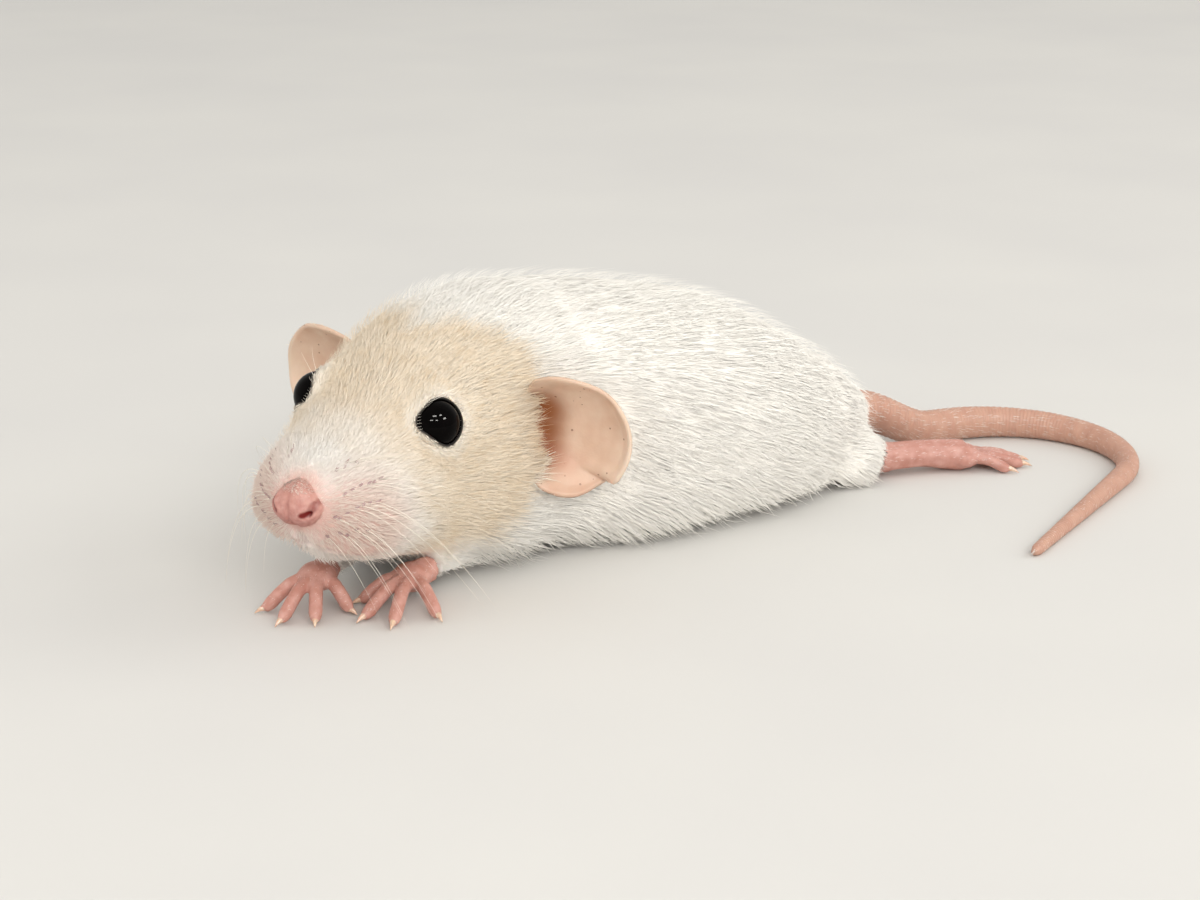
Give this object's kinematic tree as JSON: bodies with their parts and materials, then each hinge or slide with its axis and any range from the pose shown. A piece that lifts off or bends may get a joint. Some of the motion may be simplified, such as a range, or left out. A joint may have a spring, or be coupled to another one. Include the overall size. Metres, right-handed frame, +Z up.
{
  "type": "pet rat",
  "caption": "Young dumbo-eared pet rat with a pale cream hood and a white body, lying flat with its chin over its forepaws and looking round to its left.",
  "frame": {"origin": "on the floor under the middle of the belly, on the flat that the belly rests on", "axes": "+Z up, +X from the head towards the tail along the straight part of the back, -Y towards the animal's left"},
  "size_m": [0.1449, 0.0729, 0.0377],
  "materials": {
    "cream_coat": "soft short fur, cream",
    "white_coat": "soft short fur, white",
    "pink_skin": "bare pink skin, satin",
    "ear_skin": "thin bare skin, satin",
    "black_eye": "wet gloss, black"
  },
  "bodies": {
    "root": {"head": "cream_coat", "neck": "white_coat", "torso": "white_coat", "ear_left": "ear_skin", "ear_right": "ear_skin", "eye_left": "black_eye", "eye_right": "black_eye", "foreleg_left": "white_coat", "foreleg_right": "white_coat", "forepaw_left": "pink_skin", "forepaw_right": "pink_skin", "hindleg_left": "white_coat", "hindleg_right": "white_coat", "hindfoot_left": "pink_skin", "hindfoot_right": "pink_skin", "tail_base": "pink_skin", "tail_middle": "pink_skin", "tail_tip": "pink_skin"}
  },
  "joints": []
}
